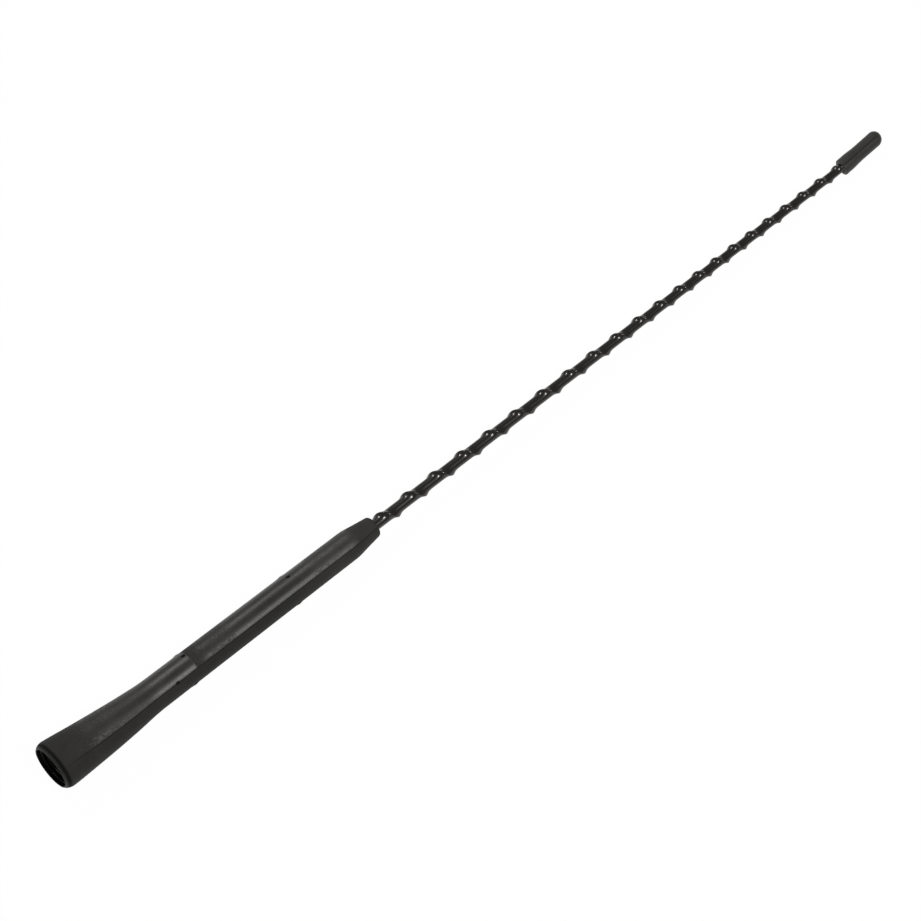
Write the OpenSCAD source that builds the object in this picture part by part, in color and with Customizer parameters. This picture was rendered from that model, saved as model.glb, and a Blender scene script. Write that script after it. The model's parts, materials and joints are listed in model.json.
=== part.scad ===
// Car mast aerial: a tapered fibreglass whip, wound with wire under a tight
// plastic sleeve, in a rubber boot that hides a threaded metal ferrule.
// Every piece is drawn along +Z from the mouth of the boot, then the whole
// aerial is laid down along +X, on the lip of the boot and on the tip cap.

/* [Overall] */
// Length from the mouth of the boot to the end of the tip cap
aerial_len = 409.2; // [385:0.1:560]

/* [Boot] */
// Length of the rubber boot
boot_len = 154.4; // [140:0.1:175]
// Outer diameter at the lip of the mouth
lip_d = 20.5; // [19.8:0.1:22]
// Outer diameter where the flare meets the grip
grip_base_d = 13.7; // [13.1:0.1:14.6]
// Outer diameter where the grip meets the shoulder
grip_top_d = 12.4; // [11.8:0.1:13]
// Outer diameter at the small end, where the whip comes out
nose_d = 9.1; // [8.4:0.1:9.6]
// Length of the flare, from the mouth to the grip
flare_len = 45.5; // [40:0.5:50]
// Length of the tapered shoulder at the small end
shoulder_len = 12; // [8:0.5:16]
// Wall thickness at the mouth
lip_wall = 2; // [2:0.05:2.6]
// Depth of the recess that goes over the neck of the base on the car
recess_depth = 15; // [10:0.5:20]
// Diameter at the floor of the recess
recess_floor_d = 13.2; // [12.4:0.1:14]
// Number of gripping ribs round the inside of the mouth
rib_count = 3; // [1:1:4]
// How far each mould half is drawn in, which leaves a crease along the seam
mould_shift = 0.35; // [0.1:0.05:0.6]
// Diameter of the holes that the core pins of the mould leave
pin_hole_d = 1.3; // [1:0.1:1.8]

/* [Ferrule] */
// Length of the metal ferrule
ferrule_len = 34; // [28:1:44]
// Diameter of the ferrule's body
ferrule_d = 8; // [7.6:0.1:8.6]
// Diameter of the flange at the floor of the recess
flange_d = 10.4; // [9.4:0.1:11.5]
// Thickness of the flange
flange_t = 2; // [1:0.1:3]
// Drilled diameter of the threaded hole
thread_hole_d = 4.2; // [3.4:0.1:5]
// Depth of the threaded hole
thread_depth = 12; // [8:0.5:13]
// Depth of the socket that the rod is crimped in
crimp_depth = 14; // [8:0.5:15]
// Number of retaining grooves round the ferrule
groove_count = 3; // [1:1:4]

/* [Whip] */
// Diameter of the rod where it leaves the boot
rod_base_d = 3.9; // [3.6:0.05:4.1]
// Diameter of the rod at its tip
rod_tip_d = 2.7; // [2.4:0.05:3]
// Diameter of the wound wire
wire_d = 0.8; // [0.6:0.05:0.9]
// Thickness of the plastic sleeve
sleeve_t = 0.25; // [0.15:0.05:0.3]
// Distance between the turns next to the boot
coarse_pitch = 13.25; // [11.5:0.25:15]
// Distance between the turns next to the tip
fine_pitch = 8.8; // [7.5:0.1:10.5]
// Length of whip wound at the coarse pitch
coarse_len = 83; // [60:1:100]
// Length of whip over which the pitch changes
change_len = 88; // [60:1:100]
// Direction of the wire where it leaves the boot, in degrees round the rod
coil_angle = 21; // [0:1:359]

/* [Cap] */
// Length of the rubber tip cap
cap_len = 20.9; // [18:0.1:28]
// Diameter of the cap's body
cap_d = 6.15; // [6:0.05:6.8]
// Diameter of the cap's waist, past its collar
cap_waist_d = 6; // [5.8:0.05:6.6]
// Diameter of the collar round the cap's open end
cap_collar_d = 6.6; // [6.4:0.1:7.4]
// Solid rubber left past the end of the cap's bore
cap_end_t = 6; // [4:0.5:8]

/* [Hidden] */

round_fn = 72;
// Clearance between two rigid pieces, and between the layers of the whip
fit_gap = 0.03;
layer_gap = 0.02;
// How far a cutting shape runs past the face that it cuts
past = 1;

// Where the seam and the core pin holes lie, in degrees round the axis
seam_angle = 218;
pin_spread = 63;
pin_places = [64.2, 114.5];
pin_stagger = 1.4;
vent_place = 55.9;
pin_hole_depth = 1.1;
pin_boss_w = 0.5;
pin_boss_h = 0.1;

// Lip and recess of the boot
lip_r = lip_d / 2;
lip_round_in = 1.7;
lip_round_pull = 0.3;
lip_round_up = 2.9;
lip_edge_z = lip_round_up + 0.5;
lip_inner_round = 0.2;
mouth_r = lip_r - lip_wall;
rib_h = 0.35;
rib_w = 0.9;
rib_step = 1.6;

// Bends of the boot's outline: the flare bows out at flare_bow
flare_bow_z = 14.5;
flare_bow_in = 0.7;
foot_round = 3;
crest_round = 1.6;
nose_round = 1.5;
shoulder_slope = 10;

// Ferrule, measured from the mouth
ferrule_z = recess_depth;
ferrule_top = ferrule_z + ferrule_len;
groove_depth = 0.5;
groove_w = 1.6;
groove_step = (ferrule_len - flange_t) / (groove_count + 1);
thread_chamfer = 0.6;
wire_slot_len = 4;
rod_start = ferrule_top - crimp_depth;
rod_end = aerial_len - cap_end_t - 0.3;

// Rod taper, which starts where the whip leaves the boot
rod_slope = (rod_base_d - rod_tip_d) / 2 / (rod_end - boot_len);
function rod_r(z) = rod_base_d / 2 - rod_slope * (max(z, boot_len) - boot_len);

// Winding: turn 0 is at the small end of the boot
steps = 14;
chord = cos(180 / steps);
pitch_fall = (fine_pitch - coarse_pitch) / change_len;
coarse_turns = coarse_len / coarse_pitch;
change_turns = ln(fine_pitch / coarse_pitch) / pitch_fall;
change_z = boot_len + coarse_len;
fine_z = change_z + change_len;
function turn_z(n) =
    n < coarse_turns ? boot_len + n * coarse_pitch
    : n < coarse_turns + change_turns
    ? change_z + coarse_pitch * (exp((n - coarse_turns) * pitch_fall) - 1) / pitch_fall
    : fine_z + (n - coarse_turns - change_turns) * fine_pitch;
function turn_at(z) =
    z < change_z ? (z - boot_len) / coarse_pitch
    : z < fine_z ? coarse_turns + ln(1 + (z - change_z) * pitch_fall / coarse_pitch) / pitch_fall
    : coarse_turns + change_turns + (z - fine_z) / fine_pitch;

// Wire, from its tail in the ferrule's slot to its end under the cap
wire_r = wire_d / 2;
wire_sides = 5;
tail_turn = -1;
tail_angle = coil_angle + 360 * tail_turn;
tail_bend_len = 3;
wire_in_cap = 9;
wire_start = ferrule_top - wire_slot_len + 0.3;
wire_end = aerial_len - cap_len + wire_in_cap;
wire_steps = floor((turn_at(wire_end) - tail_turn) * steps);
function wire_path_r(z) = (rod_r(z) + wire_r) / chord + layer_gap / 2;

// Sleeve: ridge_profile is how high the wire lifts it, across one turn
sleeve_in_boot = 12;
sleeve_in_cap = 11;
sleeve_bottom = boot_len - sleeve_in_boot;
sleeve_top = aerial_len - cap_len + sleeve_in_cap;
ridge_h = wire_d + 0.08;
ridge_profile = [[-1.7, 0], [-0.85, 0.6 * ridge_h], [-0.36, ridge_h],
    [0.36, ridge_h], [0.85, 0.6 * ridge_h], [1.7, 0]];
ridge_points = len(ridge_profile);
function sleeve_bore_r(z) = rod_r(z) / chord + layer_gap;
function ridge_r(z) = sleeve_bore_r(z) + ridge_h + sleeve_t;

// Bores that clear the sleeve's ridge
boot_bore_r = ridge_r(0) + fit_gap;
cap_bore_r = ridge_r(aerial_len - cap_len) + layer_gap;

// Cap
cap_r = cap_d / 2;
cap_z = aerial_len - cap_len;
dome_z = aerial_len - cap_r;
cap_collar_len = 4.5;
cap_waist_z = cap_z + 8.5;
cap_collar_round = 1.5;
cap_waist_round = 2;
cap_rim_edge = 0.4;

// How the aerial lies: the floor touches the edge of the lip and the cap's dome
// or collar, whichever is lower. A contact is [z, radius, its rounding].
drawn_in = mould_shift * abs(sin(seam_angle));
lip_contact = [lip_edge_z, lip_r - drawn_in, 0];
cap_contacts = [[dome_z, 0, cap_r], [cap_z + cap_collar_len - cap_collar_round, cap_collar_d / 2, 0]];
function tilt_onto(a, b) =
    atan((a[1] - b[1]) / (b[0] - a[0])) + asin((a[2] - b[2]) / norm([b[0] - a[0], a[1] - b[1]]));
lie_tilt = min([for (c = cap_contacts) tilt_onto(lip_contact, c)]);
axis_height = lip_contact[1] * cos(lie_tilt) + lip_contact[0] * sin(lie_tilt);
mouth_x = -(lip_r - lip_round_in - drawn_in) * sin(lie_tilt);
tip_x = dome_z * cos(lie_tilt) + cap_r;

function arc(centre, r, from, to, n) =
    [for (i = [0 : n]) let(a = from + (to - from) * i / n) centre + r * [cos(a), sin(a)]];

// Points on a circle round the axis
function around(r, angle, z) = [r * cos(angle), r * sin(angle), z];

// Triangles of a closed grid of rows, each row a ring of equal length
function ring_faces(rows, n) = [
    for (i = [0 : rows - 2], j = [0 : n - 1])
        let(a = i * n + j, b = i * n + (j + 1) % n, c = a + n, d = b + n)
            each [[a, c, b], [b, c, d]]];

// The point at a distance d from a towards b
function toward(a, b, d) = a + (b - a) * d / norm(b - a);

// A curve from a to b whose tangents meet at mid
function bend(a, mid, b, n) =
    [for (i = [0 : n]) let(u = i / n) (1 - u) * (1 - u) * a + 2 * u * (1 - u) * mid + u * u * b];

// A corner b between a and c, rounded over a distance d each way
function rounded(a, b, c, d, n) = bend(toward(b, a, d), b, toward(b, c, d), n);

// Half of the boot's outside, as [radius, z], from the mouth to the small end
function boot_outline() =
    let(flare_bow = [lip_r - flare_bow_in, flare_bow_z],
        foot = [grip_base_d / 2, flare_len],
        crest = [grip_top_d / 2, boot_len - shoulder_len],
        nose = arc([nose_d / 2 - nose_round, boot_len - nose_round], nose_round, shoulder_slope, 90, 6))
    concat(
        [[0, 0]],
        bend([lip_r - lip_round_in, 0], [lip_r - lip_round_pull, lip_round_pull], [lip_r, lip_round_up], 8),
        bend([lip_r, lip_edge_z], flare_bow, toward(foot, flare_bow, foot_round), 7),
        rounded(flare_bow, foot, crest, foot_round, 4),
        rounded(foot, crest, nose[0], crest_round, 4),
        nose,
        [[0, boot_len]]);

// One mould half of the boot's outside, drawn in towards the seam plane
module mould_half() {
    big = 2 * lip_d;
    intersection() {
        translate([0, -mould_shift, 0])
            rotate_extrude($fn = round_fn) polygon(boot_outline());
        translate([-big / 2, 0, -past]) cube([big, big, boot_len + 2 * past]);
    }
}

function grip_r(z) = (grip_base_d + (grip_top_d - grip_base_d) * (z - flare_len)
    / (boot_len - shoulder_len - flare_len)) / 2;

// A round peg across the grip's wall, from a depth under the surface
module across_grip(z, angle, depth, d, h) {
    rotate([0, 0, angle]) translate([grip_r(z) - depth, 0, z]) rotate([0, 90, 0])
        cylinder(d = d, h = h, $fn = 24);
}

function recess_r(z) = mouth_r + (recess_floor_d / 2 - mouth_r) * z / recess_depth;

// Recess with its ribs, ferrule bore and rod bore of the boot
module boot_void() {
    recess = concat(
        [[0, -past], [mouth_r + lip_inner_round, -past]],
        arc([mouth_r + lip_inner_round, lip_inner_round], lip_inner_round, 270, 180, 5),
        [for (i = [1 : rib_count], p = [[0, 0], [rib_h, rib_w / 2], [0, rib_w]])
            let(z = i * rib_step + p[1]) [recess_r(z) - p[0], z]],
        [[recess_floor_d / 2, recess_depth], [0, recess_depth]]);
    rotate_extrude($fn = round_fn) polygon(recess);
    rotate_extrude($fn = round_fn) polygon(ferrule_outline(fit_gap));
    translate([0, 0, ferrule_top - past])
        cylinder(r = boot_bore_r, h = boot_len - ferrule_top + 2 * past, $fn = round_fn);
}

module rubber_boot() {
    pins = [for (z = pin_places, side = [-1, 1])
        [z - pin_stagger * max(side, 0), seam_angle + side * pin_spread]];
    vent = [vent_place, seam_angle];
    color([0.07, 0.07, 0.07])
        difference() {
            union() {
                rotate([0, 0, seam_angle]) mould_half();
                rotate([0, 0, seam_angle + 180]) mould_half();
                for (p = pins)
                    across_grip(p[0], p[1], pin_hole_depth + pin_boss_w, pin_hole_d + 2 * pin_boss_w,
                        pin_hole_depth + pin_boss_w + pin_boss_h);
            }
            boot_void();
            for (p = concat(pins, [vent]))
                across_grip(p[0], p[1], pin_hole_depth, pin_hole_d, pin_hole_depth + past);
        }
}

// Half of the ferrule's outside, grown on every side by a clearance
function ferrule_outline(grow) =
    let(body = ferrule_d / 2 + grow, flange = flange_d / 2 + grow, half_w = groove_w / 2 - grow)
    concat(
        [[0, ferrule_z], [flange, ferrule_z], [flange, ferrule_z + flange_t + grow],
        [body, ferrule_z + flange_t + grow]],
        [for (i = [1 : groove_count])
            let(z = ferrule_z + flange_t + i * groove_step, floor_r = body - groove_depth)
                each [[body, z - half_w], [floor_r, z - half_w],
                    [floor_r, z + half_w], [body, z + half_w]]],
        [[body, ferrule_top + grow], [0, ferrule_top + grow]]);

// Turned ferrule, with a threaded hole, a crimp socket and a slot for the wire
module threaded_ferrule() {
    slot_w = wire_d + 2 * fit_gap;
    slot_r = wire_path_r(0) + wire_r + fit_gap;
    color([0.72, 0.70, 0.64])
        difference() {
            rotate_extrude($fn = round_fn) polygon(ferrule_outline(0));
            translate([0, 0, ferrule_z - past])
                cylinder(d = thread_hole_d, h = thread_depth + past, $fn = round_fn);
            translate([0, 0, ferrule_z])
                cylinder(d1 = thread_hole_d + 2 * thread_chamfer, d2 = thread_hole_d,
                    h = thread_chamfer, $fn = round_fn);
            translate([0, 0, rod_start - fit_gap])
                cylinder(r = rod_base_d / 2 + fit_gap, h = crimp_depth + past, $fn = round_fn);
            rotate([0, 0, tail_angle]) translate([0, -slot_w / 2, ferrule_top - wire_slot_len])
                cube([slot_r, slot_w, wire_slot_len + past]);
        }
}

module fibreglass_rod() {
    color([0.80, 0.78, 0.68]) {
        translate([0, 0, rod_start])
            cylinder(d = rod_base_d, h = boot_len - rod_start, $fn = round_fn);
        translate([0, 0, boot_len])
            cylinder(d1 = rod_base_d, d2 = rod_tip_d, h = rod_end - boot_len, $fn = round_fn);
    }
}

// The wire's path, as [angle, z]: a straight tail along the rod, then the winding
wire_path = concat(
    [for (z = [wire_start, turn_z(tail_turn) - tail_bend_len]) [tail_angle, z]],
    [for (i = [0 : wire_steps]) let(n = tail_turn + i / steps) [coil_angle + 360 * n, turn_z(n)]]);
wire_rings = len(wire_path);
wire_centres = [for (p = wire_path) around(wire_path_r(p[1]), p[0], p[1])];

module wound_wire() {
    last = wire_rings - 1;
    points = [for (i = [0 : last])
        let(along = wire_centres[min(i + 1, last)] - wire_centres[max(i - 1, 0)],
            out = around(1, wire_path[i][0], 0),
            side = cross(along, out) / norm(cross(along, out)))
        for (k = [0 : wire_sides - 1])
            let(turn = 360 * k / wire_sides)
            wire_centres[i] + wire_r * (out * cos(turn) + side * sin(turn))];
    ends = [[for (k = [0 : wire_sides - 1]) k],
        [for (k = [wire_sides - 1 : -1 : 0]) last * wire_sides + k]];
    color([0.72, 0.45, 0.25])
        polyhedron(points, concat(ring_faces(wire_rings, wire_sides), ends), convexity = 10);
}

// The sleeve is a strip that follows the winding, so that its ridge is sharp.
// Column i is one step round the rod and row j crosses the turn. Past either
// end a point is held on the end plane, at the height of the ridge.
turns_below = 1.3;
turns_above = 0.3;
sleeve_first = turn_at(sleeve_bottom) - turns_below;
sleeve_cols = ceil((turn_at(sleeve_top) + turns_above - sleeve_first) * steps);

function sleeve_point(i, j, wall) =
    let(n = sleeve_first + i / steps,
        raw = turn_z(n) + ridge_profile[j][0],
        z = min(max(raw, sleeve_bottom), sleeve_top),
        lift = raw == z ? ridge_profile[j][1] : ridge_h,
        angle = coil_angle + 360 * (sleeve_first + (i % steps) / steps))
    around(sleeve_bore_r(z) + lift + wall, angle, z);

function sleeve_index(i, j) = j < ridge_points ? i * ridge_points + j : (i + steps) * ridge_points;

// Drops the triangles that the end planes have squeezed flat
function sound(faces, points) = [for (f = faces)
    if (points[f[0]] != points[f[1]] && points[f[1]] != points[f[2]] && points[f[2]] != points[f[0]]) f];

module plastic_sleeve() {
    walls = [sleeve_t, 0];
    skin = (sleeve_cols + steps + 1) * ridge_points;
    points = [for (wall = walls, i = [0 : sleeve_cols + steps], j = [0 : ridge_points - 1])
        sleeve_point(i, j, wall)];
    outer = [for (i = [0 : sleeve_cols - 1], j = [0 : ridge_points - 1])
        let(a = sleeve_index(i, j), b = sleeve_index(i + 1, j),
            c = sleeve_index(i, j + 1), d = sleeve_index(i + 1, j + 1))
            each [[a, c, b], [b, c, d]]];
    inner = [for (f = outer) [f[0] + skin, f[2] + skin, f[1] + skin]];
    bottom = [for (i = [0 : steps - 1])
        let(a = sleeve_index(i, 0), b = sleeve_index(i + 1, 0))
            each [[a, b, a + skin], [b, b + skin, a + skin]]];
    top = [for (i = [sleeve_cols : sleeve_cols + steps - 1])
        let(a = sleeve_index(i, 0), b = sleeve_index(i + 1, 0))
            each [[a, a + skin, b], [b, a + skin, b + skin]]];
    color([0.03, 0.03, 0.03])
        polyhedron(points, sound(concat(outer, inner, bottom, top), points), convexity = 10);
}

module tip_cap() {
    rim = [cap_collar_d / 2, cap_z + cap_rim_edge];
    collar = [cap_collar_d / 2, cap_z + cap_collar_len];
    waist = [cap_waist_d / 2, cap_waist_z];
    outline = concat(
        [[cap_bore_r, cap_z], [rim[0] - cap_rim_edge, cap_z]],
        [rim],
        rounded(rim, collar, waist, cap_collar_round, 4),
        rounded(collar, waist, [cap_r, dome_z], cap_waist_round, 4),
        arc([0, dome_z], cap_r, 0, 90, 10),
        [[0, aerial_len - cap_end_t], [cap_bore_r, aerial_len - cap_end_t]]);
    color([0.08, 0.08, 0.08])
        rotate_extrude($fn = round_fn) polygon(outline);
}

// Lays the aerial down along +X
module lay() {
    translate([-(mouth_x + tip_x) / 2, 0, axis_height])
        rotate([0, 90 + lie_tilt, 0]) children();
}

lay() rubber_boot();
lay() threaded_ferrule();
lay() fibreglass_rod();
lay() wound_wire();
lay() plastic_sleeve();
lay() tip_cap();
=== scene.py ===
# Car mast aerial: a wound whip in a flared rubber boot, lying on a pale floor.
# The pieces are modelled upright in millimetres, from the mouth of the boot at
# z = 0 to the tip cap, and then laid down along the frame's own axis.
import json
import math

import bpy
from mathutils import Matrix, Vector


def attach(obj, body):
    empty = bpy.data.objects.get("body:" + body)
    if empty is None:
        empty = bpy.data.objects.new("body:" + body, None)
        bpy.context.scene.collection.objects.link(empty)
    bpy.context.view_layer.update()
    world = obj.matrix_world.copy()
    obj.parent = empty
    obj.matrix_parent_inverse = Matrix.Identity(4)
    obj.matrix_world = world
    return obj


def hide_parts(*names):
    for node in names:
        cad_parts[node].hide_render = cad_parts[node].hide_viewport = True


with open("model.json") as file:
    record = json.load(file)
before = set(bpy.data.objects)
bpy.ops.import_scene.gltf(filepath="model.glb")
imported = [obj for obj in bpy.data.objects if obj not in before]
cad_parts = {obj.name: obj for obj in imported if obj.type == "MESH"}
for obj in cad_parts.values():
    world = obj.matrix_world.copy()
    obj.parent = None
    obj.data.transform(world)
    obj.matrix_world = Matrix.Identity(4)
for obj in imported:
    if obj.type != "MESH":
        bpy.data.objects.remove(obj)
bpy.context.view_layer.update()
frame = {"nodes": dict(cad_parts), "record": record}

MM = 0.001

# The thread in the boot's mouth gives the line that the aerial is built on
SOCKET_Z = 21.3
socket = frame["record"]["mounts"][0]
along = -Vector(socket["axis"]).normalized()
mouth = Vector(socket["pos_m"]) - along * SOCKET_Z * MM
across = Vector((0, 1, 0))
down = across.cross(along)
TURN = Matrix((down, across, along)).transposed().to_4x4()
LAY = Matrix.Translation(mouth) @ TURN @ Matrix.Scale(MM, 4)
UPRIGHT = LAY.inverted()


def cad_span(node):
    """The lowest z, the highest z and the greatest radius of a CAD node, upright."""
    points = [UPRIGHT @ v.co for v in frame["nodes"][node].data.vertices]
    heights = [p.z for p in points]
    return min(heights), max(heights), max(math.hypot(p.x, p.y) for p in points)


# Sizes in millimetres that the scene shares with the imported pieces
AERIAL_LEN = cad_span("tip_cap")[1]
CAP_Z = cad_span("tip_cap")[0]
RECESS_DEPTH, FERRULE_TOP, FLANGE_R = cad_span("threaded_ferrule")
BOOT_LEN = 154.4
LIP_R = 10.25
LIP_ROUND_IN = 1.7
LIP_ROUND_PULL = 0.3
LIP_ROUND_UP = 2.9
LIP_EDGE_Z = 3.4
LIP_INNER_ROUND = 0.2
MOUTH_R = 8.25
RECESS_FLOOR_R = 6.6
FLARE_BOW = (9.55, 14.5)
GRIP_FOOT = (6.85, 45.5)
GRIP_CREST = (6.2, 142.4)
FOOT_ROUND = 3.0
CREST_ROUND = 1.6
NOSE_R = 4.55
NOSE_ROUND = 1.5
SHOULDER_SLOPE = 10.0
RIB_COUNT = 3
RIB_STEP = 1.6
RIB_H = 0.35
RIB_W = 0.9
FERRULE_R = 4.0
FLANGE_T = 2.0
MOULD_SHIFT = 0.35
SEAM_ANGLE = 218.0
PIN_SPREAD = 63.0
PIN_PLACES = (64.2, 114.5)
PIN_STAGGER = 1.4
VENT_PLACE = 55.9
PIN_HOLE_R = 0.65
PIN_STRETCH = 1.35
PIN_DEPTH = 1.1
PIN_OVERSHOOT = 1.0

# Soft marks at the sides of the grip, as (z, degrees round the axis)
BUMP_PLACES = ((63.4, 111.0), (113.3, 111.0), (62.8, 291.0), (113.1, 291.0))
BUMP_H = 0.22
BUMP_W = 1.1

ROD_BASE_R = 1.95
ROD_TIP_R = 1.35
ROD_END = cad_span("fibreglass_rod")[1]
WIRE_R = 0.4
SLEEVE_T = 0.25
COARSE_PITCH = 13.25
FINE_PITCH = 8.8
COARSE_LEN = 83.0
CHANGE_LEN = 88.0
COIL_ANGLE = 21.0

CAP_R = 3.075
CAP_COLLAR_R = 3.3
CAP_COLLAR_LEN = 4.5
CAP_WAIST_R = 3.0
CAP_WAIST = 8.5

# The set of the soft rubber: sideways at the mouth, and per millimetre along the cap
MOUTH_SET = 1.55
MOUTH_SET_END = 37.0
CAP_LEAN = 0.066

# Camera, at the photograph's viewing angle
PHOTO_PX = 921
FOCAL_PX = 8000
SENSOR = 36.0
VIEW_AZIMUTH = math.radians(41.016)
VIEW_ELEVATION = math.radians(63.155)
VIEW_DISTANCE = 2.9789
AIM = Vector((-0.0075, 0.00036, 0.005))


def add_camera():
    level = Vector((math.sin(VIEW_AZIMUTH), math.cos(VIEW_AZIMUTH), 0))
    forward = level * math.cos(VIEW_ELEVATION) - Vector((0, 0, math.sin(VIEW_ELEVATION)))
    data = bpy.data.cameras.new("camera")
    data.sensor_width = SENSOR
    data.lens = FOCAL_PX * SENSOR / PHOTO_PX
    camera = bpy.data.objects.new("camera", data)
    bpy.context.scene.collection.objects.link(camera)
    camera.location = AIM - forward * VIEW_DISTANCE
    camera.rotation_euler = forward.to_track_quat("-Z", "Y").to_euler()
    bpy.context.scene.camera = camera


# Shader maths: an expression on values adds the nodes that work it out
class Value:
    def __init__(self, tree, socket_or_number):
        self.tree = tree
        self.socket = socket_or_number

    def math(self, operation, *others):
        node = self.tree.nodes.new("ShaderNodeMath")
        node.operation = operation
        for i, term in enumerate((self,) + others):
            link(self.tree, term, node.inputs[i])
        return Value(self.tree, node.outputs[0])

    def __add__(self, other):
        return self.math("ADD", other)

    def __radd__(self, other):
        return self.math("ADD", other)

    def __sub__(self, other):
        return self.math("SUBTRACT", other)

    def __rsub__(self, other):
        return Value(self.tree, other).math("SUBTRACT", self)

    def __mul__(self, other):
        return self.math("MULTIPLY", other)

    def __rmul__(self, other):
        return self.math("MULTIPLY", other)

    def __truediv__(self, other):
        return self.math("DIVIDE", other)

    def __pow__(self, other):
        return self.math("POWER", other)


def link(tree, term, target):
    source = term.socket if isinstance(term, Value) else term
    if isinstance(source, bpy.types.NodeSocket):
        tree.links.new(source, target)
    else:
        target.default_value = source


class Finish:
    """A material's node tree, with one method that adds any node."""

    def __init__(self, name):
        self.material = bpy.data.materials.new(name)
        self.material.use_nodes = True
        self.tree = self.material.node_tree
        self.tree.nodes.clear()

    def node(self, kind, settings=None, stops=None, output=0, **values):
        node = self.tree.nodes.new("ShaderNode" + kind)
        for key, setting in (settings or {}).items():
            setattr(node, key, setting)
        if stops:
            ramp = node.color_ramp.elements
            while len(ramp) < len(stops):
                ramp.new(1.0)
            for element, (at, level) in zip(ramp, stops):
                element.position = at
                element.color = (level, level, level, 1)
        for key, term in values.items():
            link(self.tree, term, node.inputs[key.replace("_", " ")])
        return Value(self.tree, node.outputs[output])

    def place(self):
        """Where a point is on the upright aerial, in millimetres."""
        turn = (UPRIGHT.to_3x3() * MM).to_euler()
        at = self.node("TexCoord", output="Object")
        return self.node("Mapping", {"vector_type": "POINT"}, Vector=at, Rotation=turn,
                         Scale=(1 / MM,) * 3, Location=UPRIGHT.to_translation())

    def vector(self, operation, a, b=(0, 0, 0), output="Vector"):
        node = self.tree.nodes.new("ShaderNodeVectorMath")
        node.operation = operation
        link(self.tree, a, node.inputs[0])
        link(self.tree, b, node.inputs[1])
        return Value(self.tree, node.outputs[output])

    def height(self, place):
        return self.node("SeparateXYZ", Vector=place, output="Z")

    def unset(self, place):
        """Where a point of the boot was before the mouth took its set."""
        nearness = (1 - self.height(place) / MOUTH_SET_END).math("MAXIMUM", 0.0)
        return self.vector("SUBTRACT", place, self.node("CombineXYZ", Y=MOUTH_SET * nearness ** 1.5))

    def across(self, place, degrees):
        """How far a place is from the axis towards an angle round it."""
        angle = math.radians(degrees)
        return self.vector("DOT_PRODUCT", place, (math.cos(angle), math.sin(angle), 0), "Value")

    def radius(self, place):
        return self.vector("LENGTH", self.vector("MULTIPLY", place, (1, 1, 0)), output="Value")

    def stretch(self, measure, longest, stops):
        """A level that changes along a measure, from stops in millimetres."""
        return self.ramp(measure / longest, *((at / longest, level) for at, level in stops))

    def noise(self, place, scale, detail):
        return self.node("TexNoise", Vector=place, Scale=scale, Detail=detail)

    def scaled(self, place, *scale):
        """The place on axes of other scales, for a noise that runs in streaks or rings."""
        return self.node("Mapping", Vector=place, Scale=scale)

    def relief(self, height, strength):
        """A bump whose height is in millimetres."""
        return self.node("Bump", Height=height, Distance=MM, Strength=strength)

    def ramp(self, factor, *stops):
        return self.node("ValToRGB", stops=stops, Fac=factor)

    def mix(self, factor, low, high):
        return self.node("Mix", {"data_type": "RGBA"}, output=2, Factor=factor, A=low, B=high)

    def surface(self, color, roughness, normal=None, **values):
        node = self.tree.nodes.new("ShaderNodeBsdfPrincipled")
        link(self.tree, color, node.inputs["Base Color"])
        link(self.tree, roughness, node.inputs["Roughness"])
        if normal:
            link(self.tree, normal, node.inputs["Normal"])
        for key, term in values.items():
            link(self.tree, term, node.inputs[key.replace("_", " ")])
        out = self.tree.nodes.new("ShaderNodeOutputMaterial")
        self.tree.links.new(node.outputs[0], out.inputs[0])
        return self.material


# How strongly each trait of the boot's finish and its painted shade shows, as (millimetres, 0 to 1).
# Along z: where wear has polished the smoother half
WORN_STRETCHES = ((0.0, 0.0), (13.0, 0.1), (18.0, 0.6), (44.0, 0.85), (65.0, 0.95), (65.6, 0.1),
                  (67.5, 0.2), (71.0, 0.7), (82.0, 0.65), (86.0, 0.9), (122.0, 0.95), (125.0, 0.75),
                  (143.5, 0.75), (144.5, 0.0))
# Along the radius and along z: the inside of the mouth, darkened in colour as painted shade and made
# smoother
INSIDE = ((0.0, 1.0), (8.3, 1.0), (8.45, 0.0))
BEHIND_MOUTH = ((0.0, 1.0), (17.0, 1.0), (18.0, 0.0))
# Along the radius and along z: the smoother ring on the end face
LIP_SHINE = ((8.4, 0.0), (8.5, 1.0), (9.1, 1.0), (9.3, 0.0))
END_FACE = ((0.6, 1.0), (0.8, 0.0))
# Along z: painted shade, a dark arc just behind the end face
LIP_SHADE = ((0.5, 0.0), (0.9, 1.0), (1.7, 1.0), (2.4, 0.0))
# Along z: the far end, which catches more light
LIT_SHOULDER = ((100.0, 0.0), (140.0, 1.0))
# Across the seam, counted from 1 mm short of it, and along z: the dark line of the mould
SEAM_LINE = ((0.55, 0.0), (0.65, 1.0), (1.0, 1.0), (1.1, 0.0))
SEAM_LINE_START = ((3.0, 0.0), (9.0, 1.0))


def grey(level, warm=0.0):
    return (level * (1 + warm), level, level * (1 - warm), 1)


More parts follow.
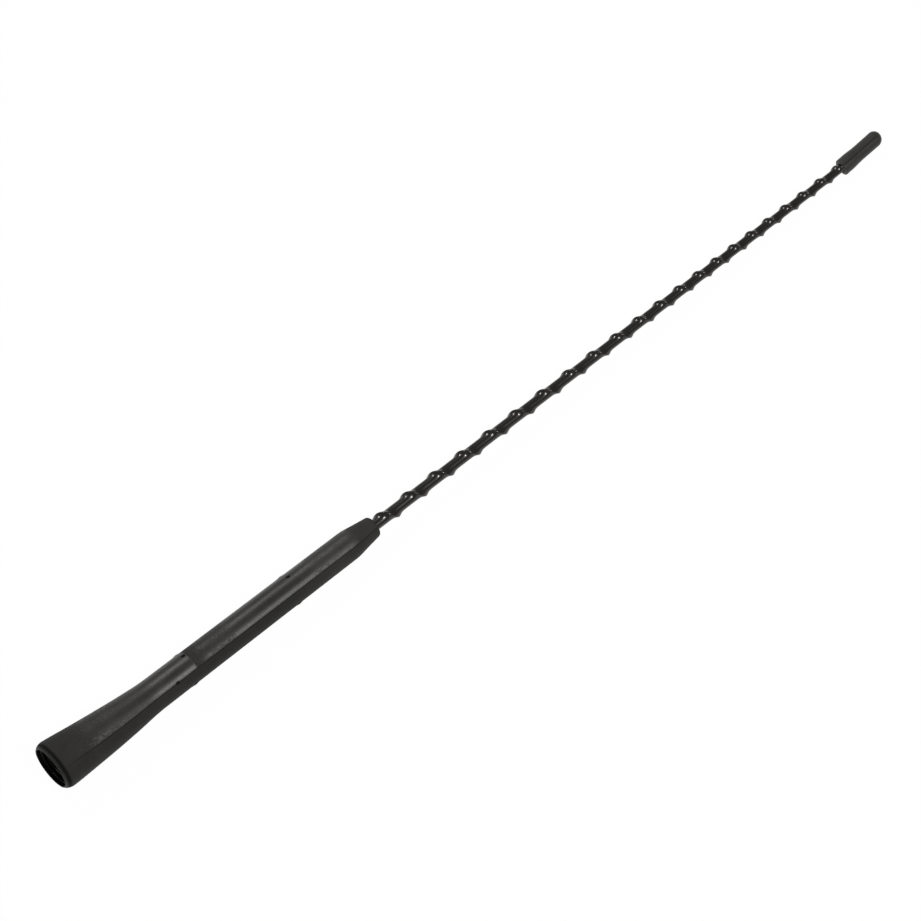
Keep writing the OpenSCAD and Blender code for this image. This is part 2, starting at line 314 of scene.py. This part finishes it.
def boot_rubber():
    """Moulded rubber: one half of the mould left it smoother than the other. Its colour carries painted
    shade inside the mouth and behind the lip.
    """
    f = Finish("boot_rubber")
    place = f.unset(f.place())
    z = f.height(place)
    radius = f.radius(place)
    off_seam = f.across(place, SEAM_ANGLE - 90)
    smooth_half = f.ramp(off_seam + 0.5, (0.55, 0.0), (0.65, 1.0))
    worn = f.stretch(z, BOOT_LEN, WORN_STRETCHES)
    # Painted shade: the inside of the mouth is darker in colour, and smoother
    inside = f.stretch(radius, LIP_R, INSIDE) * f.stretch(z, BOOT_LEN, BEHIND_MOUTH)
    lip_shine = f.stretch(radius, LIP_R, LIP_SHINE) * f.ramp(z, *END_FACE)
    # Painted shade in the arc behind the lip
    lip_shade = f.stretch(z, BOOT_LEN, LIP_SHADE)
    seam_line = f.stretch(off_seam + 1, 2, SEAM_LINE) * f.stretch(z, BOOT_LEN, SEAM_LINE_START)
    shoulder = f.stretch(z, BOOT_LEN, LIT_SHOULDER)
    # Painted shade darkens the colour and the specular inside the mouth and behind the lip; the seam's
    # dark line is the mould's own
    dark = 1 - (0.65 * inside + 0.75 * lip_shade).math("MINIMUM", 0.8)
    dark = dark * (1 - 0.35 * seam_line)
    patches = f.noise(place, 0.12, 5.0)
    grain = f.noise(place, 3.2, 3.0)
    streaks = f.noise(f.scaled(place, 1.0, 1.0, 0.16), 0.5, 3.0)
    color = f.mix(f.ramp(patches, (0.35, 0.0), (0.7, 1.0)), grey(0.008, 0.06), grey(0.014, 0.08))
    color = f.vector("MULTIPLY", color, f.node("CombineXYZ", X=dark, Y=dark, Z=dark))
    scuffs = f.ramp(f.noise(place, 1.1, 4.0), (0.42, 0.0), (0.58, 1.0))
    polish = smooth_half * worn ** (1 + 1.5 * scuffs)
    smoothness = 0.44 * polish.math("MAXIMUM", 0.5 * lip_shine) + 0.4 * inside
    roughness = 0.75 - smoothness + 0.10 * (patches - 0.5)
    shine = (0.34 + 0.18 * polish + 0.15 * shoulder) * dark
    return f.surface(color, roughness, f.relief(0.03 * grain + 0.10 * streaks, 0.35),
                     Specular_IOR_Level=shine, Specular_Tint=(1, 0.99, 0.965, 1))


def cap_rubber():
    """Duller rubber, lightly dusted."""
    f = Finish("cap_rubber")
    place = f.place()
    patches = f.noise(place, 0.6, 4.0)
    grain = f.noise(place, 5.0, 3.0)
    color = f.mix(patches, grey(0.010, 0.06), grey(0.018, 0.08))
    return f.surface(color, 0.5 + 0.15 * patches, f.relief(0.04 * grain, 0.4),
                     Sheen_Weight=0.2, Sheen_Roughness=0.35, Specular_Tint=(1, 1, 0.95, 1))


def sleeve_plastic():
    """Glossy black plastic with a little unevenness from the shrinking."""
    f = Finish("sleeve_plastic")
    place = f.place()
    ripple = f.noise(place, 0.9, 2.0)
    roughness = 0.21 + 0.09 * f.noise(place, 0.3, 3.0)
    return f.surface(grey(0.003, 0.2), roughness, f.relief(0.05 * ripple, 0.3),
                     Specular_IOR_Level=0.62, Specular_Tint=(1, 0.97, 0.94, 1))


def ferrule_metal():
    """Turned and plated metal, with faint rings from the lathe."""
    f = Finish("ferrule_metal")
    rings = f.noise(f.scaled(f.place(), 0.05, 0.05, 1.0), 9.0, 2.0)
    relief = f.relief(0.02 * rings, 0.3)
    return f.surface(grey(0.58, 0.04), 0.26 + 0.14 * rings, relief, Metallic=1.0)


def rod_fibreglass():
    """Pultruded glass fibre, streaked along its length."""
    f = Finish("rod_fibreglass")
    streaks = f.noise(f.scaled(f.place(), 1.0, 1.0, 0.03), 6.0, 3.0)
    color = f.mix(streaks, (0.50, 0.46, 0.30, 1), (0.68, 0.64, 0.48, 1))
    return f.surface(color, 0.4 + 0.1 * streaks)


def wire_copper():
    """Enamelled copper wire."""
    f = Finish("wire_copper")
    tone = f.noise(f.place(), 0.8, 2.0)
    color = f.mix(tone, (0.42, 0.16, 0.07, 1), (0.60, 0.27, 0.13, 1))
    return f.surface(color, 0.25 + 0.1 * tone, Metallic=1.0)


# Outlines, as (radius, z)
def bend(a, mid, b, steps):
    """A curve from a to b whose tangents meet at mid, without a itself."""
    curve = []
    for i in range(1, steps + 1):
        u = i / steps
        shares = ((1 - u) ** 2, 2 * u * (1 - u), u * u)
        curve.append(tuple(sum(share * c for share, c in zip(shares, coords))
                           for coords in zip(a, mid, b)))
    return curve


def toward(a, b, distance):
    length = math.dist(a, b)
    return tuple(p + (q - p) * distance / length for p, q in zip(a, b))


def straight(a, b, steps):
    return [tuple(p + (q - p) * i / steps for p, q in zip(a, b)) for i in range(1, steps + 1)]


def arc(centre, radius, start, stop, steps):
    angles = [math.radians(start + (stop - start) * i / steps) for i in range(steps + 1)]
    return [(centre[0] + radius * math.cos(a), centre[1] + radius * math.sin(a)) for a in angles]


# Meshes: points closer than this are joined
WELD = 0.001


def deselect():
    bpy.ops.object.select_all(action="DESELECT")


def pick(piece):
    deselect()
    piece.select_set(True)
    bpy.context.view_layer.objects.active = piece


def close_ends():
    """Fills the open rings of the piece in edit mode."""
    bpy.ops.mesh.select_all(action="DESELECT")
    bpy.ops.mesh.select_non_manifold()
    bpy.ops.mesh.edge_face_add()


def weld(threshold, has_open_ends=False):
    """Joins points that meet and turns the faces outward."""
    bpy.ops.object.mode_set(mode="EDIT")
    bpy.ops.mesh.select_all(action="SELECT")
    bpy.ops.mesh.remove_doubles(threshold=threshold)
    if has_open_ends:
        close_ends()
        bpy.ops.mesh.select_all(action="SELECT")
    bpy.ops.mesh.normals_make_consistent(inside=False)
    bpy.ops.object.mode_set(mode="OBJECT")


def add_circle(name, radius, z, sides):
    deselect()
    bpy.ops.mesh.primitive_circle_add(vertices=sides, radius=radius, location=(0, 0, z))
    piece = bpy.context.object
    piece.name = name
    piece.data.name = name
    bpy.ops.object.transform_apply(location=True)
    return piece


def turned(name, outline, sides):
    """A ring that is extruded and resized from one station to the next."""
    radius, z = outline[0]
    piece = add_circle(name, radius, z, sides)
    bpy.ops.object.mode_set(mode="EDIT")
    bpy.ops.mesh.select_all(action="SELECT")
    for next_radius, next_z in outline[1:]:
        bpy.ops.mesh.extrude_region_move(TRANSFORM_OT_translate={"value": (0, 0, next_z - z)})
        scale = next_radius / radius
        bpy.ops.transform.resize(value=(scale, scale, 1), center_override=(0, 0, next_z))
        radius, z = next_radius, next_z
    bpy.ops.object.mode_set(mode="OBJECT")
    weld(WELD / 2)
    return piece


def settle(piece):
    """The slight set of the soft rubber, sideways round the mouth and in the cap."""
    for v in piece.data.vertices:
        # The ferrule and the rubber that holds it stay in line
        if v.co.z < MOUTH_SET_END and math.hypot(v.co.x, v.co.y) > FLANGE_R + 0.01:
            v.co.y += MOUTH_SET * (1 - max(v.co.z, 0) / MOUTH_SET_END) ** 1.5
        elif v.co.z > CAP_Z:
            v.co.y += CAP_LEAN * (v.co.z - CAP_Z)


def finish_piece(piece, material, node, sharp=30.0):
    """Smooths, lays down, paints and places a piece that stands for a CAD node."""
    pick(piece)
    bpy.ops.object.shade_smooth_by_angle(angle=math.radians(sharp), keep_sharp_edges=True)
    settle(piece)
    piece.data.transform(LAY)
    piece.data.materials.clear()
    piece.data.materials.append(material)
    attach(piece, "root")
    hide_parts(node)


def polar(x, y):
    return math.hypot(x, y), math.atan2(y, x)


def smooth_step(low, high, x):
    u = min(max((x - low) / (high - low), 0.0), 1.0)
    return u * u * (3 - 2 * u)


# Rubber boot
BOOT_SIDES = 144
PEG_SIDES = 32
WHIP_HOLE_R = 2.25
WHIP_HOLE_RIM = ((0.35, 0.06), (0.0, 0.3), (0.0, 0.6))
SEAM_FADE = (5.0, 16.0)
SEAM_END_FADE = (BOOT_LEN - 7, BOOT_LEN - 1)
SEAM_SHARP_END = BOOT_LEN - 3
SEAM_SHARP_R = 3.5
SKIN_DEPTH = 0.6
CORE_R = 3.0
GRIP_ROWS = 40
PIN_ROWS = range(-12, 9)
PIN_ROW_STEP = 0.3
PIN_ROW_GAP = 0.25


def recess_r(z):
    return MOUTH_R + (RECESS_FLOOR_R - MOUTH_R) * z / RECESS_DEPTH


def grip_rows(low, high):
    """The straight of the grip, with rows close together at the pin marks."""
    close = [place + PIN_ROW_STEP * i for place in PIN_PLACES for i in PIN_ROWS]
    wide = [z for _, z in straight(low, high, GRIP_ROWS)]
    rows = sorted([z for z in wide if all(abs(z - c) > PIN_ROW_GAP for c in close)] + close)
    return [(low[0] + (high[0] - low[0]) * (z - low[1]) / (high[1] - low[1]), z) for z in rows]


def boot_outline():
    lip_edge = (LIP_R, LIP_EDGE_Z)
    end_face = (LIP_R - LIP_ROUND_IN, 0.0)
    nose = arc((NOSE_R - NOSE_ROUND, BOOT_LEN - NOSE_ROUND), NOSE_ROUND, SHOULDER_SLOPE, 85, 8)
    foot_in = toward(GRIP_FOOT, FLARE_BOW, FOOT_ROUND)
    foot_out = toward(GRIP_FOOT, GRIP_CREST, FOOT_ROUND)
    crest_in = toward(GRIP_CREST, GRIP_FOOT, CREST_ROUND)
    crest_out = toward(GRIP_CREST, nose[0], CREST_ROUND)
    ferrule = [(FLANGE_R, RECESS_DEPTH), (FLANGE_R, RECESS_DEPTH + FLANGE_T),
               (FERRULE_R, RECESS_DEPTH + FLANGE_T), (FERRULE_R, FERRULE_TOP),
               (WHIP_HOLE_R, FERRULE_TOP)]
    ribs = []
    for i in range(1, RIB_COUNT + 1):
        foot, crest = i * RIB_STEP, i * RIB_STEP + RIB_W / 2
        shoulder_r = recess_r(crest) - 0.8 * RIB_H
        ribs += [(recess_r(foot), foot), (shoulder_r, crest - RIB_W / 5),
                 (recess_r(crest) - RIB_H, crest), (shoulder_r, crest + RIB_W / 5),
                 (recess_r(foot + RIB_W), foot + RIB_W)]
    inner_lip = arc((MOUTH_R + LIP_INNER_ROUND, LIP_INNER_ROUND), LIP_INNER_ROUND, 180, 270, 6)
    lip_corner = (LIP_R - LIP_ROUND_PULL, LIP_ROUND_PULL)
    hole_rim = [(WHIP_HOLE_R + out, BOOT_LEN - depth) for out, depth in WHIP_HOLE_RIM]
    return ([hole_rim[-1]] + ferrule[::-1]
            + [(RECESS_FLOOR_R, RECESS_DEPTH)] + ribs[::-1] + inner_lip
            + [end_face] + bend(end_face, lip_corner, (LIP_R, LIP_ROUND_UP), 12)
            + [lip_edge] + bend(lip_edge, FLARE_BOW, foot_in, 24)
            + bend(foot_in, GRIP_FOOT, foot_out, 6) + grip_rows(foot_out, crest_in)
            + bend(crest_in, GRIP_CREST, crest_out, 6) + straight(crest_out, nose[0], 6)
            + nose[1:] + hole_rim)


def draw_in(piece):
    """Draws both halves of the boot's skin towards the seam, which stands at 90 degrees."""
    for v in piece.data.vertices:
        radius, angle = polar(v.co.x, v.co.y)
        is_skin = v.co.z > FERRULE_TOP or radius > recess_r(max(v.co.z, 0)) + SKIN_DEPTH
        if radius <= CORE_R or not is_skin:
            continue
        off_seam = angle - math.pi / 2
        sideways = MOULD_SHIFT * math.cos(off_seam)
        creased = math.sqrt(radius ** 2 - sideways ** 2) - MOULD_SHIFT * abs(math.sin(off_seam))
        plain = radius - 0.7 * MOULD_SHIFT
        blend = smooth_step(*SEAM_FADE, v.co.z) * (1 - smooth_step(*SEAM_END_FADE, v.co.z))
        k = (plain + (creased - plain) * blend) / radius
        v.co.x *= k
        v.co.y *= k


def raise_bumps(piece):
    """The soft marks that the core pins left at the sides of the grip."""
    for v in piece.data.vertices:
        radius, angle = polar(v.co.x, v.co.y)
        for z, degrees in BUMP_PLACES:
            turn = (math.degrees(angle) - degrees + 180) % 360 - 180
            away = math.hypot(v.co.z - z, radius * math.radians(turn))
            if away < 3 * BUMP_W:
                rise = 1 + BUMP_H * math.exp(-(away / BUMP_W) ** 2) / radius
                v.co.x *= rise
                v.co.y *= rise


def crease_seam(piece):
    """Marks the seam's edges sharp on both sides of the boot."""
    verts = piece.data.vertices
    for e in piece.data.edges:
        ends = [verts[i].co for i in e.vertices]
        on_seam = all(abs(p.x) < WELD and SEAM_FADE[0] < p.z < SEAM_SHARP_END
                      and abs(p.y) > SEAM_SHARP_R for p in ends)
        on_outside = all(abs(p.y) > recess_r(0) or p.z > RECESS_DEPTH + 1 for p in ends)
        e.use_edge_sharp = on_seam and on_outside


def grip_r(z):
    share = (z - GRIP_FOOT[1]) / (GRIP_CREST[1] - GRIP_FOOT[1])
    return GRIP_FOOT[0] + (GRIP_CREST[0] - GRIP_FOOT[0]) * share


def peg(z, angle, radius, low, high):
    """A peg across the wall, a little longer than wide, that cuts a hole."""
    deselect()
    bpy.ops.mesh.primitive_cylinder_add(vertices=PEG_SIDES, radius=radius, depth=high - low,
                                        location=((low + high) / 2, 0, z), rotation=(0, math.pi / 2, 0))
    piece = bpy.context.object
    bpy.ops.object.transform_apply()
    for v in piece.data.vertices:
        v.co.z = z + PIN_STRETCH * (v.co.z - z)
    piece.data.transform(Matrix.Rotation(math.radians(angle), 4, "Z"))
    return piece


def cut(piece, tool):
    """Takes the tool's shape out of the piece."""
    modifier = piece.modifiers.new("cut", "BOOLEAN")
    modifier.object = tool
    modifier.operation = "DIFFERENCE"
    modifier.solver = "EXACT"
    pick(piece)
    bpy.ops.object.modifier_apply(modifier=modifier.name)
    bpy.data.objects.remove(tool)


def rubber_boot():
    boot = turned("boot_moulding", boot_outline(), BOOT_SIDES)
    draw_in(boot)
    crease_seam(boot)
    boot.data.transform(Matrix.Rotation(math.radians(SEAM_ANGLE - 90), 4, "Z"))
    raise_bumps(boot)
    pins = [(z, SEAM_ANGLE - PIN_SPREAD) for z in PIN_PLACES]
    pins += [(z - PIN_STAGGER, SEAM_ANGLE + PIN_SPREAD) for z in PIN_PLACES]
    for z, angle in pins + [(VENT_PLACE, SEAM_ANGLE)]:
        r = grip_r(z)
        cut(boot, peg(z, angle, PIN_HOLE_R, r - PIN_DEPTH, r + PIN_OVERSHOOT))
    finish_piece(boot, boot_rubber(), "rubber_boot")


# Threaded ferrule
THREAD_R = 2.1
THREAD_ROOT_R = 2.53
THREAD_PITCH = 0.8
THREAD_TURNS = 14
THREAD_STEPS = 48
THREAD_START = RECESS_DEPTH + 0.5
THREAD_HALF_WIDTH = 0.37
THREAD_OVERLAP = 0.1


def thread_cutter():
    """A V-shaped bar that is wound round the drilled hole."""
    inner_r = THREAD_R - THREAD_OVERLAP
    foot = (inner_r, -THREAD_HALF_WIDTH)
    corners = (foot, (THREAD_ROOT_R, 0.0), (inner_r, THREAD_HALF_WIDTH), foot)
    deselect()
    bpy.ops.mesh.primitive_grid_add(x_subdivisions=THREAD_TURNS * THREAD_STEPS, y_subdivisions=3, size=2)
    cutter = bpy.context.object
    for v in cutter.data.vertices:
        turn = (v.co.x + 1) / 2 * THREAD_TURNS
        r, off = corners[round((v.co.y + 1) * 1.5)]
        angle = 2 * math.pi * turn
        v.co = (r * math.cos(angle), r * math.sin(angle), THREAD_START + turn * THREAD_PITCH + off)
    weld(WELD, has_open_ends=True)
    return cutter


def threaded_ferrule():
    """The CAD ferrule with a thread cut in its drilled hole."""
    node = frame["nodes"]["threaded_ferrule"]
    ferrule = bpy.data.objects.new("tapped_ferrule", node.data.copy())
    ferrule.data.name = "tapped_ferrule"
    bpy.context.scene.collection.objects.link(ferrule)
    ferrule.data.transform(UPRIGHT @ node.matrix_world)
    cut(ferrule, thread_cutter())
    finish_piece(ferrule, ferrule_metal(), "threaded_ferrule")


# Wound whip: turn 0 is at the small end of the boot. Paired sizes hold there and
# at the rod's end
PITCH_FALL = (FINE_PITCH - COARSE_PITCH) / CHANGE_LEN
COARSE_TURNS = COARSE_LEN / COARSE_PITCH
CHANGE_TURNS = math.log(FINE_PITCH / COARSE_PITCH) / PITCH_FALL
CHANGE_Z = BOOT_LEN + COARSE_LEN
FINE_Z = CHANGE_Z + CHANGE_LEN
SLEEVE_BOTTOM = BOOT_LEN - 12
SLEEVE_TOP = CAP_Z + 11
SLEEVE_STEPS = 48
SLEEVE_WALL = (SLEEVE_T, 0.65 * SLEEVE_T)
RIDGE_W = (0.98, 0.8)
RIDGE_H = (0.92, 0.76)
RIDGE_POWER = 1.6
RIDGE_ROWS = 26
RIDGE_GATHER = 0.35


def turn_z(turn):
    if turn < COARSE_TURNS:
        return BOOT_LEN + turn * COARSE_PITCH
    if turn < COARSE_TURNS + CHANGE_TURNS:
        return CHANGE_Z + COARSE_PITCH * (math.exp((turn - COARSE_TURNS) * PITCH_FALL) - 1) / PITCH_FALL
    return FINE_Z + (turn - COARSE_TURNS - CHANGE_TURNS) * FINE_PITCH


def turn_at(z):
    if z < CHANGE_Z:
        return (z - BOOT_LEN) / COARSE_PITCH
    if z < FINE_Z:
        return COARSE_TURNS + math.log(1 + (z - CHANGE_Z) * PITCH_FALL / COARSE_PITCH) / PITCH_FALL
    return COARSE_TURNS + CHANGE_TURNS + (z - FINE_Z) / FINE_PITCH


def along_whip(base, tip, z):
    """A size that changes evenly from the boot's small end to the rod's end."""
    return base + (tip - base) * (max(z, BOOT_LEN) - BOOT_LEN) / (ROD_END - BOOT_LEN)


def sleeve_r(z, off, pitch):
    """The sleeve's radius at a distance along the whip from the wire that lifts it."""
    rod_r = along_whip(ROD_BASE_R, ROD_TIP_R, z)
    lead = math.atan2(pitch, 2 * math.pi * (rod_r + WIRE_R))
    away = abs(off) * math.cos(lead) / along_whip(*RIDGE_W, z)
    ridge = along_whip(*RIDGE_H, z) * math.exp(-away ** RIDGE_POWER)
    return rod_r + along_whip(*SLEEVE_WALL, z) + ridge


def plastic_sleeve():
    """A grid whose columns follow the winding and whose rows cross one turn."""
    first = turn_at(SLEEVE_BOTTOM)
    cols = math.ceil((turn_at(SLEEVE_TOP) - first) * SLEEVE_STEPS)
    deselect()
    bpy.ops.mesh.primitive_grid_add(x_subdivisions=cols, y_subdivisions=RIDGE_ROWS, size=2)
    sleeve = bpy.context.object
    sleeve.name = sleeve.data.name = "shrunk_sleeve"
    for v in sleeve.data.vertices:
        turn = first + (v.co.x + 1) / 2 * cols / SLEEVE_STEPS
        # Rows gather at the ridge, which is in the middle of the turn
        across_turn = v.co.y * (RIDGE_GATHER + (1 - RIDGE_GATHER) * v.co.y ** 2)
        base = turn_z(turn)
        step = turn_z(turn + 0.5) - base if across_turn > 0 else base - turn_z(turn - 0.5)
        off = across_turn * step
        z = base + off
        r = sleeve_r(z, off, 2 * step)
        angle = math.radians(COIL_ANGLE) + 2 * math.pi * turn
        v.co = (r * math.cos(angle), r * math.sin(angle), z)
    weld(WELD)
    finish_piece(sleeve, sleeve_plastic(), "plastic_sleeve", 60.0)


# Tip cap
CAP_SIDES = 192
CAP_SEAM_ANGLE = 197.0
CAP_SEAM_WIDTH = 5.0
CAP_SEAM_DEPTH = 0.3
CAP_HOLE_R = 1.95
CAP_HOLE_DEPTH = 2.5
CAP_HOLE_EDGE = 0.15
CAP_RIM_ROUND = 0.4
CAP_COLLAR_ROUND = 1.5
CAP_WAIST_ROUND = 2.0


def tip_cap():
    dome = AERIAL_LEN - CAP_R
    rim = (CAP_COLLAR_R, CAP_Z + CAP_RIM_ROUND)
    collar = (CAP_COLLAR_R, CAP_Z + CAP_COLLAR_LEN)
    waist = (CAP_WAIST_R, CAP_Z + CAP_WAIST)
    collar_in = toward(collar, (CAP_COLLAR_R, CAP_Z), CAP_COLLAR_ROUND)
    collar_out = toward(collar, waist, CAP_COLLAR_ROUND)
    waist_in = toward(waist, collar, CAP_WAIST_ROUND)
    waist_out = toward(waist, (CAP_R, dome), CAP_WAIST_ROUND)
    hole = [(CAP_HOLE_R, CAP_Z + CAP_HOLE_DEPTH), (CAP_HOLE_R, CAP_Z + CAP_HOLE_EDGE),
            (CAP_HOLE_R + CAP_HOLE_EDGE, CAP_Z)]
    outline = (hole + arc((rim[0] - CAP_RIM_ROUND, rim[1]), CAP_RIM_ROUND, 270, 360, 5)
               + straight(rim, collar_in, 3) + bend(collar_in, collar, collar_out, 6)
               + straight(collar_out, waist_in, 3) + bend(waist_in, waist, waist_out, 6)
               + straight(waist_out, (CAP_R, dome), 12)
               + arc((0, dome), CAP_R, 6, 88, 14))
    cap = turned("cap_moulding", outline, CAP_SIDES)
    for v in cap.data.vertices:
        radius, angle = polar(v.co.x, v.co.y)
        # A shallow V along the mould's line
        off = abs(math.degrees(angle) % 360 - CAP_SEAM_ANGLE) / CAP_SEAM_WIDTH
        if off < 1 and radius > CAP_HOLE_R + 0.3:
            v.co *= Vector((1 - CAP_SEAM_DEPTH * (1 - off) / radius,) * 2 + (1,))
    bpy.ops.object.mode_set(mode="EDIT")
    close_ends()
    bpy.ops.object.mode_set(mode="OBJECT")
    finish_piece(cap, cap_rubber(), "tip_cap")


def dress_frame():
    """Gives the CAD nodes that stay their own finishes."""
    for name, material in (("fibreglass_rod", rod_fibreglass()), ("wound_wire", wire_copper())):
        slots = frame["nodes"][name].data.materials
        slots.clear()
        slots.append(material)


# Studio: a pale floor and soft lamps
FLOOR_SIZE = 6.0
FLOOR_GREY = 0.85
FLOOR_GLOW = 0.985
GLOSS_LOSS = 0.1
WORLD_LEVEL = 0.35
SPOT_CONE = math.radians(3)


def add_floor():
    """A matt floor that looks evenly white to the camera and in reflections."""
    deselect()
    bpy.ops.mesh.primitive_plane_add(size=FLOOR_SIZE, location=(0, 0, 0))
    floor = bpy.context.object
    floor.name = "floor"
    f = Finish("floor_white")
    matt = f.tree.nodes.new("ShaderNodeBsdfDiffuse")
    matt.inputs["Color"].default_value = grey(FLOOR_GREY)
    glow = f.tree.nodes.new("ShaderNodeEmission")
    path = f.tree.nodes.new("ShaderNodeLightPath")
    by_camera = Value(f.tree, path.outputs["Is Camera Ray"])
    by_gloss = Value(f.tree, path.outputs["Is Glossy Ray"])
    mix = f.tree.nodes.new("ShaderNodeMixShader")
    link(f.tree, 1 - GLOSS_LOSS * by_gloss, glow.inputs["Strength"])
    link(f.tree, FLOOR_GLOW * by_camera.math("MAXIMUM", by_gloss), mix.inputs[0])
    f.tree.links.new(matt.outputs[0], mix.inputs[1])
    f.tree.links.new(glow.outputs[0], mix.inputs[2])
    out = f.tree.nodes.new("ShaderNodeOutputMaterial")
    f.tree.links.new(mix.outputs[0], out.inputs[0])
    floor.data.materials.append(f.material)


def around(degrees, lengthwise):
    """A direction from its angle round the aerial and its cosine along it."""
    side = math.sqrt(1 - lengthwise ** 2)
    angle = math.radians(degrees)
    return along * lengthwise + (down * math.cos(angle) + across * math.sin(angle)) * side


def add_lamp(name, direction, distance, width, height, power):
    """A softbox that faces the middle of the aerial."""
    data = bpy.data.lights.new(name, "AREA")
    data.shape = "RECTANGLE"
    data.size = width
    data.size_y = height
    data.energy = power
    lamp = bpy.data.objects.new(name, data)
    bpy.context.scene.collection.objects.link(lamp)
    away = Vector(direction).normalized()
    lamp.location = away * distance
    lamp.rotation_euler = (-away).to_track_quat("-Z", "Y").to_euler()


def add_spot(name, direction, distance, size, power):
    """A narrow lamp that looks only into the mouth of the boot."""
    data = bpy.data.lights.new(name, "SPOT")
    data.spot_size = SPOT_CONE
    data.shadow_soft_size = size
    data.energy = power
    lamp = bpy.data.objects.new(name, data)
    bpy.context.scene.collection.objects.link(lamp)
    lamp.location = mouth + direction * distance
    lamp.rotation_euler = (-direction).to_track_quat("-Z", "Y").to_euler()


def add_studio():
    add_floor()
    add_lamp("front", around(213, 0.0), 1.5, 0.25, 0.25, 13)
    add_lamp("back", around(137, 0.0), 1.5, 0.25, 0.25, 8)
    add_spot("mouth", around(150, -0.83), 1.5, 0.12, 150)
    world = bpy.data.worlds.new("studio")
    bpy.context.scene.world = world
    world.use_nodes = True
    tree = world.node_tree
    tree.nodes.clear()
    path = tree.nodes.new("ShaderNodeLightPath")
    back = tree.nodes.new("ShaderNodeBackground")
    seen = Value(tree, path.outputs["Is Camera Ray"])
    link(tree, WORLD_LEVEL + (1 - WORLD_LEVEL) * seen, back.inputs["Strength"])
    out = tree.nodes.new("ShaderNodeOutputWorld")
    tree.links.new(back.outputs[0], out.inputs[0])
    bpy.context.scene.view_settings.view_transform = "Standard"


add_camera()
rubber_boot()
threaded_ferrule()
plastic_sleeve()
tip_cap()
dress_frame()
add_studio()
